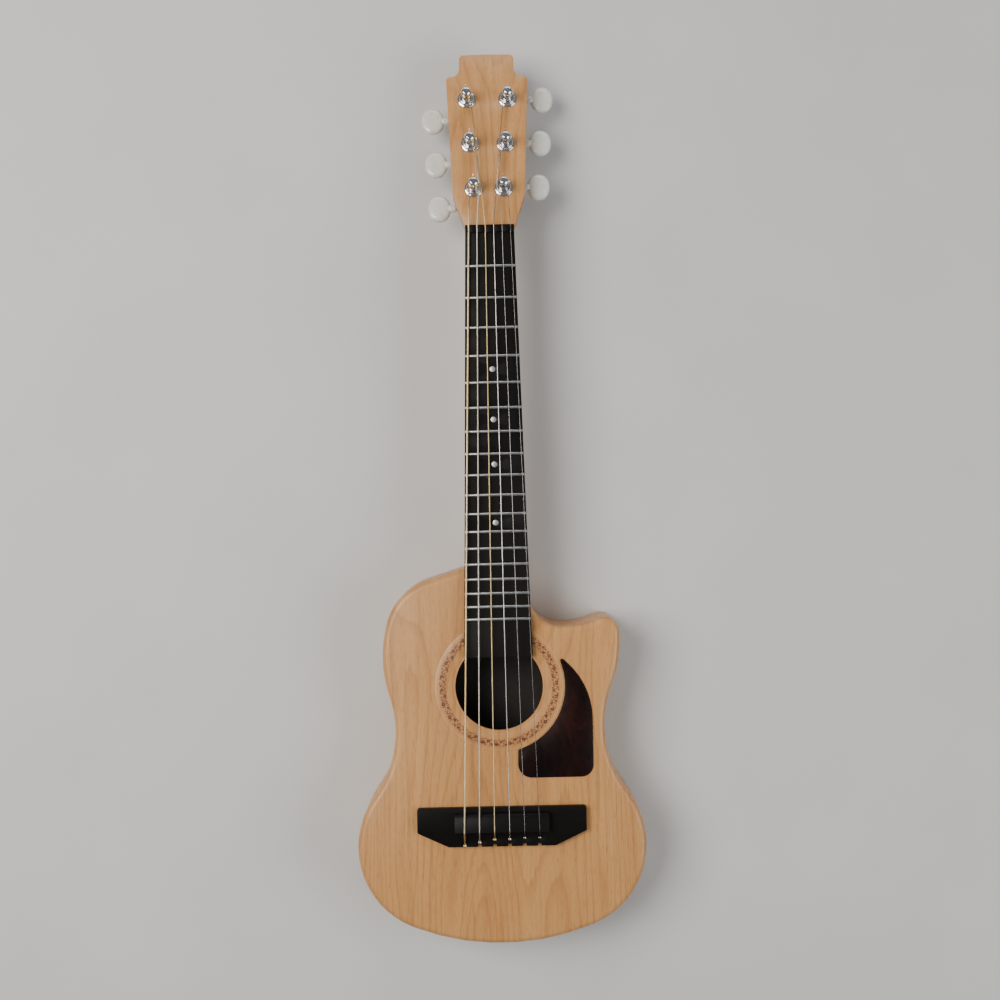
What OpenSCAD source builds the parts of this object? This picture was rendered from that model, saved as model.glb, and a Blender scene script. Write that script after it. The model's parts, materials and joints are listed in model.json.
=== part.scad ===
// Toy guitar with six strings: a hollow cutaway body of two moulded shells, a hollow
// neck with a tilted headstock, and six open worm-gear tuning machines.
// It lies on its back. x runs to the treble side, y towards the headstock, z up out of
// the soundboard. z = 0 is the flat back, and the body's plan is centred on x = 0.

/* [Body] */
// Depth of the body, from the flat back to the soundboard
body_depth = 46; // [44:1:50]
// Height of the seam between the back shell and the front shell
seam_height = 24; // [20:1:26]
// Wall thickness of both shells
shell_wall = 2; // [1.6:0.2:2.4]
// Radius of the rounded rims of the soundboard and the back
rim_radius = 4; // [3:0.5:5]
// Radius of the soundhole
soundhole_r = 28.6; // [26:0.2:29.6]

/* [Scale] */
// Length of the free strings, from the nut to the bridge
scale_length = 388; // [384:1:392]
// Number of frets
fret_count = 18; // [16:1:18]
// Gap between neighbouring strings at the nut
nut_spacing = 5.42; // [5:0.02:5.6]
// Gap between neighbouring strings at the bridge
bridge_spacing = 9.72; // [9:0.02:9.8]

/* [Neck] */
// Width of the fingerboard at the nut
board_width_nut = 31.8; // [31:0.2:34]
// Width of the fingerboard at its soundhole end
board_width_end = 44.3; // [42:0.1:46]
// Length of the fingerboard
board_length = 275.5; // [270:0.5:277]
// Thickness of the fingerboard
board_thickness = 5; // [4:0.5:5.5]
// Depth of the neck below the fingerboard, at the nut
neck_depth_nut = 14; // [13:0.5:16]
// Depth of the neck below the fingerboard, where the heel begins
neck_depth_body = 18; // [16:0.5:20]

/* [Headstock] */
// Backward tilt of the headstock in degrees
head_tilt = 9; // [7:0.5:10]
// Thickness of the headstock with its face plate
head_thickness = 12; // [11:0.5:13]
// Distance from the nut to the first pair of string posts
first_post = 25.6; // [25.6:0.2:27]
// Distance from one pair of string posts to the next
post_pitch = 31; // [30.5:0.5:31.5]

/* [Tuning machines] */
// Height of each string post above the headstock face
post_height = 13; // [12.5:0.5:15]
// Distance from a string post's axis to the near side of its knob
knob_start = 15.8; // [15.4:0.1:17]

/* [Hidden] */
TUNERS = [1 : 6];
$fn = 48;

// Colours
maple = [0.80, 0.64, 0.45];
black = [0.06, 0.06, 0.06];
tortoise = [0.20, 0.08, 0.05];
silver = [0.75, 0.76, 0.78];
brass = [0.78, 0.65, 0.38];
pearl = [0.86, 0.86, 0.82];

// A little more than a wall, so that a cut runs clean through it
cut = 1;

// Along the guitar
saddle_y = -217.5;
nut_y = saddle_y + scale_length;
nut_thickness = 4.7;
head_y = nut_y + nut_thickness;
board_end_y = nut_y - board_length;
hole_y = -124.5;
body_end_y = hole_y + 78.7;

// Up through the guitar
board_top = body_depth + board_thickness;
fret_height = 0.8;
nut_string_z = board_top + 1.1;
bridge_string_z = board_top + 4.3;
head_face_z = board_top - 2;

// Outlines are chains of arcs, written [centre x, centre y, radius] and listed
// anticlockwise. A hollow arc has a negative radius. Neighbours meet on a shared tangent.
BODY_ARCS = [
    [0, -10, 158.5],
    [38.5, -105, 56],
    [138.6, -28, -70.2],
    [-0.4, 29.2, 80],
    [69.5, 33.6, 10],
    [42, 98, -60],
    [42, 60, -22],
    [13.5, 72.2, 6.5],
    [-15, 72.2, 6.5],
    [-36, 32.6, 38],
    [4, 19.4, 80],
    [-138.6, -28, -70.2],
    [-38.5, -105, 56]
];
HEAD_ARCS = [
    [12.8, -4, 2],
    [20.6, 23, 3],
    [23.9, 101, 3],
    [23.6, 109.5, -5.5],
    [15, 116.2, 3],
    [0, 39.5, 80],
    [-15, 116.2, 3],
    [-23.6, 109.5, -5.5],
    [-23.9, 101, 3],
    [-20.6, 23, 3],
    [-12.8, -4, 2]
];
// A point that sees the whole outline of the body
BODY_HUB = [0, -28];
PICKGUARD_ARCS = [
    [20.4, -50.9, 9],
    [52.4, -51.9, 8],
    [10.5, -22, 50],
    [41.3, 16, 1.2],
    [0, 0, -43],
    [12.8, -42.4, 1.2]
];
BRIDGE_ARCS = [
    [34.4, -101.8, 1.5],
    [53.5, -92.9, 1.5],
    [53.5, -79.5, 1.5],
    [-53.5, -79.5, 1.5],
    [-53.5, -92.9, 1.5],
    [-34.4, -101.8, 1.5]
];
KNOB_ARCS = [
    [5.7, 0, 9.3],
    [7.2, 3.6, 5.4],
    [9.9, 0, 9.9],
    [7.2, -3.6, 5.4]
];

// Shells
shell_step = 7;
rim_steps = 5;
seam_edge = 0.4;
lip_height = 2;
lip_gap = 0.2;
lip_wall = 1.2;
lip_foot = 3;
screw_shank_r = 1.3;
screw_head_r = 2.8;
screw_head_h = 2;
screw_length = 20;
screw_recess_r = 3.2;
screw_clearance = 0.2;
back_post_r = 4.2;
front_post_r = 3.6;
rib = [120, 1.6, 6];
RIB_Y = [-70, -112];
body_recess = 12;
neck_recess = 21;
BODY_SCREWS = [[0, -157], [66, -132], [-66, -132], [58, -32], [-58, -32], [64, 24], [-60, 28]];
NECK_SCREWS = [[-8, 66], [8, 66], [-8, 48], [8, 48]];

// Fingerboard, nut and bridge
DOT_FRETS = [5, 7, 9, 12];
dot_r = 1.8;
dot_depth = 0.6;
dot_proud = 0.05;
fret_crown_r = 1;
fret_tang = [0.5, 1.4];
fret_inset = 0.3;
nut_top = nut_string_z + 0.6;
bridge_base_h = 4;
bridge_block = [61, 11.6];
block_nose = 2.4;
block_slope = 0.6;
pocket_floor = 0.4;
notch_r = 1.1;
knot_r = 1.2;
pocket_r = 1.5;
bridge_screw_shank = 5.5;
BRIDGE_SCREW_X = [-45, -18, 18, 45];
bridge_screw_y = saddle_y + 7.5;
print_thickness = 0.3;
guard_thickness = 0.6;
rosette_inner = 30.3;
rosette_outer = 42;
rosette_gap = 0.1;

// Neck
neck_wall = 2.4;
section_step = 12;
section_power = 0.8;
heel_extra = 20;
heel_length = 30;
heel_stations = 7;
volute_length = 9;
volute_slope = 0.8;
tongue = [30, 42, 12.1];
tongue_top = body_depth - shell_wall - 0.4;
tongue_fit = 0.3;

// Headstock
head_length = 140;
nut_clearance = 20;
nut_block = 12;
face_plate = 2.5;
head_wall = 2.5;
cavity_start = 7;
post_half_gap = 9.8;
post_half_gap_step = 1.85;
bushing_r = 4;
bushing_depth = 8;
bushing_wall_r = 6;
flange_r = 6.2;
flange_h = 1.2;
collar_r = 4.4;
collar_h = 2.4;

// Tuning machines, measured down from the headstock face
plate_top = -head_thickness;
plate_thickness = 1;
plate_width = 15;
post_r = 2.9;
post_fit = 0.05;
waist_r = 2.3;
waist_from = 5.4;
waist_to = 9.7;
journal_r = 2.25;
end_play = 0.3;
seat = 3;
seat_play = 0.2;
post_slack = 0.3;
post_bevel = 0.6;
post_dome = [0.9, 0.2];
post_hole_r = 0.7;
flank_steps = 3;
flank_foot = 0.4;
thread_bite = 0.2;
shaft_tail = 1;
knob_grip = 7;
stem_length = 6;
screw_pad_r = 2.6;
wheel_teeth = 12;
gear_module = 0.75;
worm_pitch_r = 2.5;
wheel_pitch_r = gear_module * wheel_teeth / 2;
wheel_width = 2.8;
wheel_hub_r = 3.1;
gear_distance = wheel_pitch_r + worm_pitch_r;
pressure_angle = 25;
backlash = 0.15;
addendum = 0.7;
dedendum = 0.95;
worm_lead = PI * gear_module;
worm_tip_r = worm_pitch_r + addendum;
worm_length = 7.6;
worm_steps = 12;
shaft_r = 1.5;
shaft_fit = 0.06;
wheel_z = plate_top - plate_thickness - end_play - worm_tip_r - 0.05;
hub_top = plate_top - plate_thickness - end_play;
wheel_base = wheel_z - wheel_width / 2;
lug_from = 5;
lug_thickness = 1.2;
lug_r = 3;
ear_r = 4;
EAR_Y = [-9, 14.2];
small_screw_r = 0.9;
small_screw_head = [2, 1.3];
small_screw_length = 5;
wheel_screw_head = [2.2, 1.4];
wheel_screw_length = 4;
knob_step = 15;
stem_start = knob_start - 3.3;
stem_r = 2.3;
// Half thickness of a knob, and how far its outline shrinks there
KNOB_PILLOW = [[-2.5, 2.8], [-2.2, 1.4], [-1.4, 0.4], [0, 0], [1.4, 0.4], [2.2, 1.4], [2.5, 2.8]];

// Strings, from the bass side to the treble side
STRING_D = [1.1, 0.9, 0.75, 0.6, 0.45, 0.36];
STRING_TURNS = [3, 3, 4, 5, 6, 8];
WINDING_Z = [8, 8.2, 7.2];
lean_z = 5.5;
KNOT_Y = [-227, -225, -223.2, -223.2, -222.6, -222.6];
string_sides = 8;
string_touch = 0.02;
string_gap = 0.34;

// ---------- outlines and lofted solids ----------

// Direction of the outward normal where arc a hands over to arc b
function join_angle(a, b) =
    atan2(b[1] - a[1], b[0] - a[0])
    - acos(max(-1, min(1, (a[2] - b[2]) / norm([b[0] - a[0], b[1] - a[1]]))));

// Length of the straight stretch between two arcs
function straight(a, b) =
    sqrt(max(0, pow(b[0] - a[0], 2) + pow(b[1] - a[1], 2) - pow(a[2] - b[2], 2)));

function full_turn(angle) = angle - 360 * floor(angle / 360);

// Turn made along an arc: to the left on a bulge, to the right on a hollow
function arc_turn(radius, from, to) =
    radius > 0 ? full_turn(to - from) : -full_turn(from - to);

// Points of a chain of arcs, moved inwards by inset
function outline(arcs, inset = 0, step = shell_step) =
    [for (k = [0 : len(arcs) - 1])
        let (
            arc = arcs[k],
            after = arcs[(k + 1) % len(arcs)],
            from = join_angle(arcs[(k + len(arcs) - 1) % len(arcs)], arc),
            turn = arc_turn(arc[2], from, join_angle(arc, after)),
            steps = max(1, ceil(abs(turn) / step)),
            last = straight(arc, after) > 0.3 ? steps : steps - 1
        )
        for (i = [0 : last])
            let (a = from + turn * i / steps)
            [arc[0] + (arc[2] - inset) * cos(a), arc[1] + (arc[2] - inset) * sin(a)]];

function ring(points, z) = [for (p = points) [p[0], p[1], z]];

function reversed(list) = [for (i = [len(list) - 1 : -1 : 0]) list[i]];

// Rings of a rounded rim that starts at height z and closes in over one radius
function rim(arcs, z, direction, radius, inset) =
    [for (i = [0 : rim_steps])
        let (a = 90 * i / rim_steps)
        ring(outline(arcs, inset + radius * (1 - cos(a))), z + direction * radius * sin(a))];

function middle(ring) = [for (p = ring) 1] * ring / len(ring);

// Closed solid through rings of equal length, anticlockwise about the way they advance.
// Each end is closed by a fan about a hub, which sees every point of its ring.
module loft(rings, hub = undef) {
    n = len(rings[0]);
    count = len(rings);
    hubs = [for (r = [rings[0], rings[count - 1]])
        is_undef(hub) ? middle(r) : [hub[0], hub[1], r[0][2]]];
    polyhedron(
        points = concat([for (r = rings) each r], hubs),
        faces = [for (i = [0 : n - 1])
            let (k = (i + 1) % n)
            each concat(
                [[count * n, i, k]],
                [for (j = [0 : count - 2])
                    each [[j * n + i, (j + 1) * n + i, (j + 1) * n + k],
                          [j * n + i, (j + 1) * n + k, j * n + k]]],
                [[count * n + 1, (count - 1) * n + k, (count - 1) * n + i]])]);
}

module at_hole() {
    translate([0, hole_y, 0]) children();
}

// ---------- body shells ----------

module screw_posts(places, from, to, radius) {
    for (p = places) {
        translate([p[0], p[1], from]) cylinder(r = radius, h = to - from);
    }
}

module recessed_holes(places, recess) {
    for (p = places) {
        translate([p[0], p[1], -cut]) cylinder(r = screw_recess_r, h = recess + cut);
        translate([p[0], p[1], -cut])
            cylinder(r = screw_shank_r + screw_clearance, h = body_depth);
    }
}

module back_shell() {
    tongue_bottom = tongue_top - tongue[2];
    color(maple) at_hole() difference() {
        union() {
            difference() {
                loft(concat(
                    reversed(rim(BODY_ARCS, rim_radius, -1, rim_radius, 0)),
                    [ring(outline(BODY_ARCS), seam_height - seam_edge),
                     ring(outline(BODY_ARCS, seam_edge), seam_height)]), BODY_HUB);
                loft(concat(
                    reversed(rim(BODY_ARCS, rim_radius, -1, rim_radius - shell_wall, shell_wall)),
                    [ring(outline(BODY_ARCS, shell_wall), seam_height + cut)]), BODY_HUB);
            }
            locating_lip();
            screw_posts(BODY_SCREWS, shell_wall / 2, seam_height, back_post_r);
            screw_posts(NECK_SCREWS, shell_wall / 2, tongue_bottom, back_post_r);
        }
        recessed_holes(BODY_SCREWS, body_recess);
        recessed_holes(NECK_SCREWS, neck_recess);
    }
}

// Rib that stands inside the seam and keeps the two shells in line
module locating_lip() {
    outer = shell_wall + lip_gap;
    inner = outer + lip_wall;
    translate([0, 0, seam_height - lip_foot])
        linear_extrude(lip_foot - 0.5) difference() {
            polygon(outline(BODY_ARCS, shell_wall / 2));
            polygon(outline(BODY_ARCS, inner));
        }
    translate([0, 0, seam_height - lip_foot])
        linear_extrude(lip_foot + lip_height) difference() {
            polygon(outline(BODY_ARCS, outer));
            polygon(outline(BODY_ARCS, inner));
        }
}

module front_shell() {
    inside_top = body_depth - shell_wall;
    color(maple) at_hole() difference() {
        union() {
            difference() {
                loft(concat(
                    [ring(outline(BODY_ARCS, seam_edge), seam_height),
                     ring(outline(BODY_ARCS), seam_height + seam_edge)],
                    rim(BODY_ARCS, body_depth - rim_radius, 1, rim_radius, 0)), BODY_HUB);
                loft(concat(
                    [ring(outline(BODY_ARCS, shell_wall), seam_height - cut)],
                    rim(BODY_ARCS, body_depth - rim_radius, 1, rim_radius - shell_wall,
                        shell_wall)), BODY_HUB);
            }
            screw_posts(BODY_SCREWS, seam_height, inside_top + shell_wall / 2, front_post_r);
            soundboard_ribs(inside_top);
        }
        translate([0, 0, inside_top - cut]) cylinder(r = soundhole_r, h = shell_wall + 2 * cut);
        for (p = BODY_SCREWS) {
            translate([p[0], p[1], seam_height - cut])
                cylinder(r = screw_shank_r, h = body_recess + screw_length - seam_height + cut);
        }
        tongue_opening();
        translate([0, -hole_y, 0]) bridge_screw_holes();
    }
}

// Two ribs under the bridge that stiffen the soundboard
module soundboard_ribs(top) {
    for (y = RIB_Y) {
        translate([-rib[0] / 2, y, top - rib[2] + shell_wall / 2]) cube(rib);
    }
}

// Opening in the end wall for the neck's tongue
module tongue_opening() {
    width = tongue[0] + 2 * tongue_fit;
    translate([-width / 2, body_end_y - hole_y - 2 * shell_wall, tongue_top - tongue[2] - tongue_fit])
        cube([width, 3 * shell_wall, tongue[2] + tongue_fit + 0.2]);
}

module bridge_screw_holes() {
    for (x = BRIDGE_SCREW_X) {
        translate([x, bridge_screw_y, body_depth - shell_wall - cut])
            cylinder(r = screw_shank_r + screw_clearance, h = shell_wall + 2 * cut);
    }
}

// Pan-head screw that points up, with the underside of its head at z = 0
module screw(shank_r, shank_length, head_r, head_h) {
    slot = head_r / 3;
    difference() {
        union() {
            cylinder(r = shank_r, h = shank_length);
            translate([0, 0, -head_h]) cylinder(r = head_r, h = head_h);
        }
        for (turn = [0, 90]) {
            rotate([0, 0, turn]) translate([-head_r * 0.6, -slot / 2, -head_h - cut])
                cube([head_r * 1.2, slot, head_h / 2 + cut]);
        }
    }
}

module body_screws() {
    color(silver) at_hole() {
        for (p = BODY_SCREWS) {
            translate([p[0], p[1], body_recess])
                screw(screw_shank_r, screw_length, screw_head_r, screw_head_h);
        }
        for (p = NECK_SCREWS) {
            translate([p[0], p[1], neck_recess])
                screw(screw_shank_r, screw_length, screw_head_r, screw_head_h);
        }
    }
}

module bridge_screws() {
    color(silver) for (x = BRIDGE_SCREW_X) {
        translate([x, bridge_screw_y, body_depth - shell_wall])
            screw(screw_shank_r, bridge_screw_shank, screw_head_r, screw_head_h);
    }
}

// ---------- trim on the soundboard ----------

module rosette() {
    board_w = board_width_at(board_end_y);
    color(brass) translate([0, hole_y, body_depth]) linear_extrude(print_thickness) difference() {
        circle(r = rosette_outer);
        circle(r = rosette_inner);
        translate([-board_w / 2 - rosette_gap, board_end_y - hole_y - rosette_gap])
            square([board_w + 2 * rosette_gap, rosette_outer]);
    }
}

module pickguard() {
    color(tortoise) translate([0, hole_y, body_depth])
        linear_extrude(guard_thickness) polygon(outline(PICKGUARD_ARCS));
}

// ---------- fingerboard, frets, dots and nut ----------

function board_width_at(y) =
    board_width_nut + (board_width_end - board_width_nut) * (nut_y - y) / board_length;

function fret_y(n) = nut_y - scale_length * (1 - pow(2, -n / 12));

module fingerboard() {
    color(black) difference() {
        translate([0, 0, body_depth]) linear_extrude(board_thickness) polygon([
            [-board_width_nut / 2, nut_y],
            [-board_width_end / 2, board_end_y],
            [board_width_end / 2, board_end_y],
            [board_width_nut / 2, nut_y]
        ]);
        for (n = [1 : fret_count]) {
            translate([-board_width_end, fret_y(n) - fret_tang[0] / 2, board_top - fret_tang[1]])
                cube([2 * board_width_end, fret_tang[0], fret_tang[1] + cut]);
        }
        for (n = DOT_FRETS) {
            translate([0, dot_y(n), board_top - dot_depth]) cylinder(r = dot_r, h = dot_depth + cut);
        }
    }
}

// Half-round crown on a tang that fills the slot in the fingerboard
module frets() {
    crown_drop = fret_crown_r - fret_height;
    color(silver) for (n = [1 : fret_count]) {
        length = board_width_at(fret_y(n)) - 2 * fret_inset;
        translate([-length / 2, fret_y(n), board_top]) {
            intersection() {
                translate([0, 0, -crown_drop]) rotate([0, 90, 0]) cylinder(r = fret_crown_r, h = length);
                translate([0, -fret_crown_r, 0]) cube([length, 2 * fret_crown_r, fret_crown_r]);
            }
            translate([0, -fret_tang[0] / 2, -fret_tang[1]])
                cube([length, fret_tang[0], fret_tang[1] + fret_height / 2]);
        }
    }
}

function dot_y(n) = (fret_y(n - 1) + fret_y(n)) / 2;

module position_dots() {
    color(silver) for (n = DOT_FRETS) {
        translate([0, dot_y(n), board_top - dot_depth])
            cylinder(r = dot_r, h = dot_depth + dot_proud);
    }
}

function nut_x(i) = (i - 3.5) * nut_spacing;

module nut() {
    width = board_width_nut - 0.2;
    color(black) difference() {
        translate([-width / 2, nut_y, body_depth])
            cube([width, nut_thickness, nut_top - body_depth]);
        for (i = TUNERS) {
            slot_r = STRING_D[i - 1] / 2 + string_touch;
            translate([nut_x(i), nut_y - cut, nut_string_z + slot_r]) {
                rotate([-90, 0, 0]) cylinder(r = slot_r, h = nut_thickness + 2 * cut);
                translate([-slot_r, 0, 0]) cube([2 * slot_r, nut_thickness + 2 * cut, 2]);
            }
        }
    }
}

// ---------- bridge ----------

function bridge_x(i) = (i - 3.5) * bridge_spacing;

module bridge() {
    base_top = body_depth + bridge_base_h;
    block_top = bridge_string_z;
    bottom_y = hole_y + BRIDGE_ARCS[0][1] - BRIDGE_ARCS[0][2];
    color(black) difference() {
        union() {
            at_hole() translate([0, 0, body_depth]) linear_extrude(bridge_base_h)
                polygon(outline(BRIDGE_ARCS, 0, 30));
            translate([-bridge_block[0] / 2, 0, 0]) rotate([90, 0, 90])
                linear_extrude(bridge_block[0]) polygon([
                    [saddle_y, base_top - cut],
                    [saddle_y + bridge_block[1], base_top - cut],
                    [saddle_y + bridge_block[1], block_top - block_nose],
                    [saddle_y + bridge_block[1] - block_nose, block_top - block_slope],
                    [saddle_y, block_top]
                ]);
        }
        for (i = TUNERS) {
            translate([bridge_x(i), bottom_y + notch_r, body_depth - cut])
                cylinder(r = notch_r, h = bridge_base_h + 2 * cut);
            translate([bridge_x(i) - notch_r, bottom_y - cut, body_depth - cut])
                cube([2 * notch_r, notch_r + cut, bridge_base_h + 2 * cut]);
            translate([bridge_x(i), KNOT_Y[i - 1], base_top - pocket_r - pocket_floor])
                cylinder(r = pocket_r, h = pocket_r + cut);
        }
        for (x = BRIDGE_SCREW_X) {
            translate([x, bridge_screw_y, body_depth - cut])
                cylinder(r = screw_shank_r, h = bridge_screw_shank - shell_wall + cut);
        }
    }
}

// ---------- neck and headstock ----------

function neck_depth(y) =
    neck_depth_nut
    + (neck_depth_body - neck_depth_nut) * (nut_y - y) / (nut_y - body_end_y)
    + heel_extra * pow(max(0, 1 - (y - body_end_y) / heel_length), 3)
    - volute_slope * max(0, y - head_y);

// D-shaped section of the neck at y, with its flat side up
function neck_section(y, wall, top) =
    [for (a = [0 : section_step : 180])
        [(board_width_at(y) / 2 - wall) * sign(cos(a)) * pow(abs(cos(a)), section_power),
         y,
         top - (neck_depth(y) + top - body_depth - wall) * pow(sin(a), section_power)]];

function heel_stations(from) =
    [for (i = [0 : heel_stations - 1]) from + heel_length * i / heel_stations];

module on_headstock() {
    translate([0, head_y, head_face_z]) rotate([-head_tilt, 0, 0]) children();
}

function tuner_side(i) = i <= 3 ? -1 : 1;
function tuner_level(i) = i <= 3 ? i - 1 : 6 - i;
function post_x(i) = tuner_side(i) * (post_half_gap + post_half_gap_step * tuner_level(i));
function post_s(i) = first_post + post_pitch * tuner_level(i);

// Frame of one tuning machine: z up its post, x out towards its knob
module at_tuner(i) {
    on_headstock() translate([post_x(i), post_s(i), 0])
        rotate([0, 0, tuner_side(i) > 0 ? 0 : 180]) children();
}

module neck() {
    floor_z = plate_top + head_wall;
    color(maple) difference() {
        union() {
            loft([for (y = concat(heel_stations(body_end_y),
                                  [body_end_y + heel_length, head_y, head_y + volute_length]))
                neck_section(y, 0, body_depth)]);
            on_headstock() translate([0, 0, plate_top])
                linear_extrude(head_thickness - face_plate) polygon(outline(HEAD_ARCS));
            neck_tongue();
        }
        loft([for (y = concat(heel_stations(body_end_y + neck_wall),
                              [body_end_y + heel_length + neck_wall, head_y - nut_block]))
            neck_section(y, neck_wall, body_depth + cut)]);
        translate([-board_width_nut, head_y - nut_clearance, body_depth])
            cube([2 * board_width_nut, nut_clearance, nut_clearance]);
        on_headstock() translate([-board_width_nut, 0, -face_plate])
            cube([2 * board_width_nut, head_length, nut_clearance]);
        headstock_cavity(floor_z);
        for (i = TUNERS) {
            at_tuner(i) {
                translate([0, 0, plate_top - cut]) cylinder(r = post_r + post_slack, h = head_wall + 2 * cut);
                for (y = EAR_Y) {
                    translate([0, y, plate_top - cut])
                        cylinder(r = small_screw_r, h = small_screw_length - plate_thickness + cut);
                }
            }
        }
        at_hole() for (p = NECK_SCREWS) {
            translate([p[0], p[1], neck_recess])
                cylinder(r = screw_shank_r, h = screw_length);
        }
    }
}

// Hollow of the headstock, which leaves a tube round each bushing and a pad over each screw
module headstock_cavity(floor_z) {
    difference() {
        on_headstock() translate([0, 0, floor_z]) linear_extrude(head_thickness) intersection() {
            polygon(outline(HEAD_ARCS, head_wall));
            translate([-head_length / 2, cavity_start]) square(head_length);
        }
        for (i = TUNERS) {
            at_tuner(i) {
                translate([0, 0, floor_z - cut])
                    cylinder(r = bushing_wall_r, h = head_thickness - head_wall - face_plate + cut);
                for (y = EAR_Y) {
                    translate([0, y, floor_z - cut]) cylinder(r = screw_pad_r, h = small_screw_length);
                }
            }
        }
    }
    for (i = TUNERS) {
        at_tuner(i) translate([0, 0, floor_z]) cylinder(r = bushing_r, h = head_thickness);
    }
}

// Hollow tongue that slides into the body and takes the four neck screws
module neck_tongue() {
    bottom = tongue_top - tongue[2];
    start = body_end_y - tongue[1];
    difference() {
        translate([-tongue[0] / 2, start, bottom])
            cube([tongue[0], tongue[1] + neck_wall, tongue[2]]);
        translate([-tongue[0] / 2 + neck_wall, start + neck_wall, bottom - cut])
            cube([tongue[0] - 2 * neck_wall, tongue[1] - 2 * neck_wall, tongue[2] - neck_wall + cut]);
    }
    at_hole() screw_posts(NECK_SCREWS, bottom, tongue_top - neck_wall / 2, back_post_r);
}

module headstock_face() {
    color(maple) difference() {
        on_headstock() translate([0, 0, -face_plate])
            linear_extrude(face_plate) polygon(outline(HEAD_ARCS));
        translate([-board_width_nut, head_y - nut_clearance, body_depth])
            cube([2 * board_width_nut, nut_clearance, nut_clearance]);
        for (i = TUNERS) {
            at_tuner(i) translate([0, 0, -face_plate - cut])
                cylinder(r = bushing_r, h = face_plate + 2 * cut);
        }
    }
}

// ---------- tuning machines ----------

module bushings() {
    color(silver) for (i = TUNERS) {
        at_tuner(i) rotate_extrude() polygon([
            [post_r + post_fit, -bushing_depth],
            [bushing_r, -bushing_depth],
            [bushing_r, 0],
            [flange_r, 0],
            [flange_r, flange_h / 2],
            [flange_r - flange_h / 2, flange_h],
            [collar_r, collar_h],
            [post_r + post_fit, collar_h]
        ]);
    }
}

module tuner_plates() {
    color(silver) for (i = TUNERS) {
        at_tuner(i) difference() {
            union() {
                translate([0, 0, plate_top - plate_thickness]) linear_extrude(plate_thickness) {
                    translate([-plate_width / 2, EAR_Y[0] + ear_r / 2])
                        square([plate_width, EAR_Y[1] - EAR_Y[0] - ear_r]);
                    for (y = EAR_Y) {
                        translate([0, y]) circle(r = ear_r);
                    }
                }
                for (x = [lug_from, -lug_from - lug_thickness]) {
                    worm_lug(x);
                }
            }
            translate([0, 0, plate_top - plate_thickness - cut])
                cylinder(r = journal_r + shaft_fit, h = plate_thickness + 2 * cut);
            for (y = EAR_Y) {
                translate([0, y, plate_top - plate_thickness - cut])
                    cylinder(r = small_screw_r, h = plate_thickness + 2 * cut);
            }
        }
    }
}

// One of the two ears that carry the worm, folded down from the plate
module worm_lug(x) {
    difference() {
        union() {
            translate([x, gear_distance - lug_r, wheel_z])
                cube([lug_thickness, 2 * lug_r, plate_top - plate_thickness / 2 - wheel_z]);
            translate([x, gear_distance, wheel_z]) rotate([0, 90, 0])
                cylinder(r = lug_r, h = lug_thickness);
        }
        translate([x - cut, gear_distance, wheel_z]) rotate([0, 90, 0])
            cylinder(r = shaft_r + shaft_fit, h = lug_thickness + 2 * cut);
    }
}

module tuner_screws() {
    color(silver) for (i = TUNERS) {
        for (y = EAR_Y) {
            at_tuner(i) translate([0, y, plate_top - plate_thickness])
                screw(small_screw_r, small_screw_length, small_screw_head[0], small_screw_head[1]);
        }
    }
}

module post(i) {
    seat_end = wheel_base + seat_play;
    color(silver) at_tuner(i) difference() {
        union() {
            rotate_extrude() polygon([
                [0, hub_top],
                [journal_r, hub_top],
                [journal_r, plate_top + end_play],
                [post_r, plate_top + end_play],
                [post_r, waist_from - post_bevel],
                [waist_r, waist_from],
                [waist_r, waist_to],
                [post_r, waist_to + post_bevel],
                [post_r, post_height - post_dome[0]],
                [post_r - post_dome[0], post_height - post_dome[1]],
                [0, post_height]
            ]);
            translate([-seat / 2, -seat / 2, seat_end]) cube([seat, seat, hub_top - seat_end + cut]);
        }
        translate([0, 0, wheel_base - cut])
            cylinder(r = small_screw_r, h = wheel_screw_length + cut);
        translate([0, 0, waist_to + 2 * post_hole_r]) rotate([90, 0, 0])
            cylinder(r = post_hole_r, h = 3 * post_r, center = true);
    }
}

// Coils of string on the waist of a post
module winding(i) {
    d = STRING_D[i - 1];
    turns = STRING_TURNS[i - 1];
    low = WINDING_Z[tuner_level(i)] - turns * d / 2;
    color(brass) at_tuner(i) translate([0, 0, low]) rotate_extrude() intersection() {
        union() {
            square([waist_r + d / 2, turns * d]);
            for (k = [0 : turns - 1]) {
                translate([waist_r + d / 2, (k + 0.5) * d]) circle(r = d * 0.52);
            }
        }
        translate([waist_r, 0]) square([2 * d, turns * d]);
    }
}

// Angle under an involute, in degrees, at the pressure angle a
function involute(a) = tan(a) * 180 / PI - a;

// Half the angle that a wheel tooth fills at radius r
function tooth_half(r) =
    (PI * gear_module - 2 * backlash) / 4 / wheel_pitch_r * 180 / PI
    + involute(pressure_angle)
    - involute(acos(min(1, wheel_pitch_r * cos(pressure_angle) / r)));

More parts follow.
